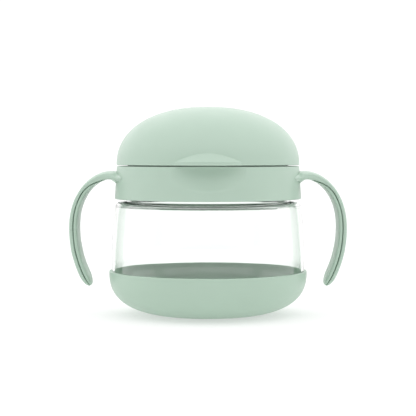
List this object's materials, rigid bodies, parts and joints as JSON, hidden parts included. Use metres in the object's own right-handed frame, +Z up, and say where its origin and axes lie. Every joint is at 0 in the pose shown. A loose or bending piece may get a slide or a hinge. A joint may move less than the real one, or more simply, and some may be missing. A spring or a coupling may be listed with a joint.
{
  "type": "no-spill toddler cup",
  "caption": "Wide two-handled toddler cup with a domed flip lid, a mouth of soft no-spill flaps, a clear bowl and a soft non-slip boot.",
  "frame": {"origin": "centre of the flat foot, on the surface that the cup stands on", "axes": "+Z up, +X towards the right handle, thumb tab at the front on -Y, lid hinge at the back on +Y"},
  "size_m": [0.1406, 0.1006, 0.1054],
  "materials": {
    "green_plastic": "satin sage green polypropylene",
    "soft_green": "matt sage green elastomer",
    "clear_plastic": "clear polished copolyester",
    "silicone": "translucent satin silicone",
    "pin_plastic": "natural acetal"
  },
  "bodies": {
    "cup": {"clear_bowl": "clear_plastic", "base_boot": "soft_green"},
    "collar": {"collar_ring": "green_plastic", "right_handle": "green_plastic", "left_handle": "green_plastic", "right_handle_grip": "soft_green", "left_handle_grip": "soft_green", "bowl_gasket": "silicone", "flap_ring": "silicone", "flap_frame": "green_plastic", "hinge_pin": "pin_plastic"},
    "lid": {"flip_lid": "green_plastic", "lid_seal": "silicone"},
    "flap_1": {"flap_1": "silicone"},
    "flap_2": {"flap_2": "silicone"},
    "flap_3": {"flap_3": "silicone"},
    "flap_4": {"flap_4": "silicone"},
    "flap_5": {"flap_5": "silicone"},
    "flap_6": {"flap_6": "silicone"},
    "flap_7": {"flap_7": "silicone"},
    "flap_8": {"flap_8": "silicone"}
  },
  "joints": [
    {"name": "collar_twist", "type": "hinge", "parent": "cup", "child": "collar", "pos_m": [0, 0, 0.0603], "axis": [0, 0, 1], "range_deg": [0, 40]},
    {"name": "lid_hinge", "type": "hinge", "parent": "collar", "child": "lid", "pos_m": [0, 0.0476, 0.0736], "axis": [-1, 0, 0], "range_deg": [0, 110]},
    {"name": "flap_1_bend", "type": "hinge", "parent": "collar", "child": "flap_1", "pos_m": [0.0293, 0, 0.0733], "axis": [0, -1, 0], "range_deg": [-40, 55], "stiffness_Nm_per_rad": 0.006},
    {"name": "flap_2_bend", "type": "hinge", "parent": "collar", "child": "flap_2", "pos_m": [0.02072, 0.02072, 0.0733], "axis": [0.7071, -0.7071, 0], "range_deg": [-40, 55], "stiffness_Nm_per_rad": 0.006},
    {"name": "flap_3_bend", "type": "hinge", "parent": "collar", "child": "flap_3", "pos_m": [0, 0.0293, 0.0733], "axis": [1, 0, 0], "range_deg": [-40, 55], "stiffness_Nm_per_rad": 0.006},
    {"name": "flap_4_bend", "type": "hinge", "parent": "collar", "child": "flap_4", "pos_m": [-0.02072, 0.02072, 0.0733], "axis": [0.7071, 0.7071, 0], "range_deg": [-40, 55], "stiffness_Nm_per_rad": 0.006},
    {"name": "flap_5_bend", "type": "hinge", "parent": "collar", "child": "flap_5", "pos_m": [-0.0293, 0, 0.0733], "axis": [0, 1, 0], "range_deg": [-40, 55], "stiffness_Nm_per_rad": 0.006},
    {"name": "flap_6_bend", "type": "hinge", "parent": "collar", "child": "flap_6", "pos_m": [-0.02072, -0.02072, 0.0733], "axis": [-0.7071, 0.7071, 0], "range_deg": [-40, 55], "stiffness_Nm_per_rad": 0.006},
    {"name": "flap_7_bend", "type": "hinge", "parent": "collar", "child": "flap_7", "pos_m": [0, -0.0293, 0.0733], "axis": [-1, 0, 0], "range_deg": [-40, 55], "stiffness_Nm_per_rad": 0.006},
    {"name": "flap_8_bend", "type": "hinge", "parent": "collar", "child": "flap_8", "pos_m": [0.02072, -0.02072, 0.0733], "axis": [-0.7071, -0.7071, 0], "range_deg": [-40, 55], "stiffness_Nm_per_rad": 0.006}
  ],
  "couplings": [
    {"joint": "flap_2_bend", "follows": "flap_1_bend", "ratio": 1},
    {"joint": "flap_3_bend", "follows": "flap_1_bend", "ratio": 1},
    {"joint": "flap_4_bend", "follows": "flap_1_bend", "ratio": 1},
    {"joint": "flap_5_bend", "follows": "flap_1_bend", "ratio": 1},
    {"joint": "flap_6_bend", "follows": "flap_1_bend", "ratio": 1},
    {"joint": "flap_7_bend", "follows": "flap_1_bend", "ratio": 1},
    {"joint": "flap_8_bend", "follows": "flap_1_bend", "ratio": 1}
  ]
}
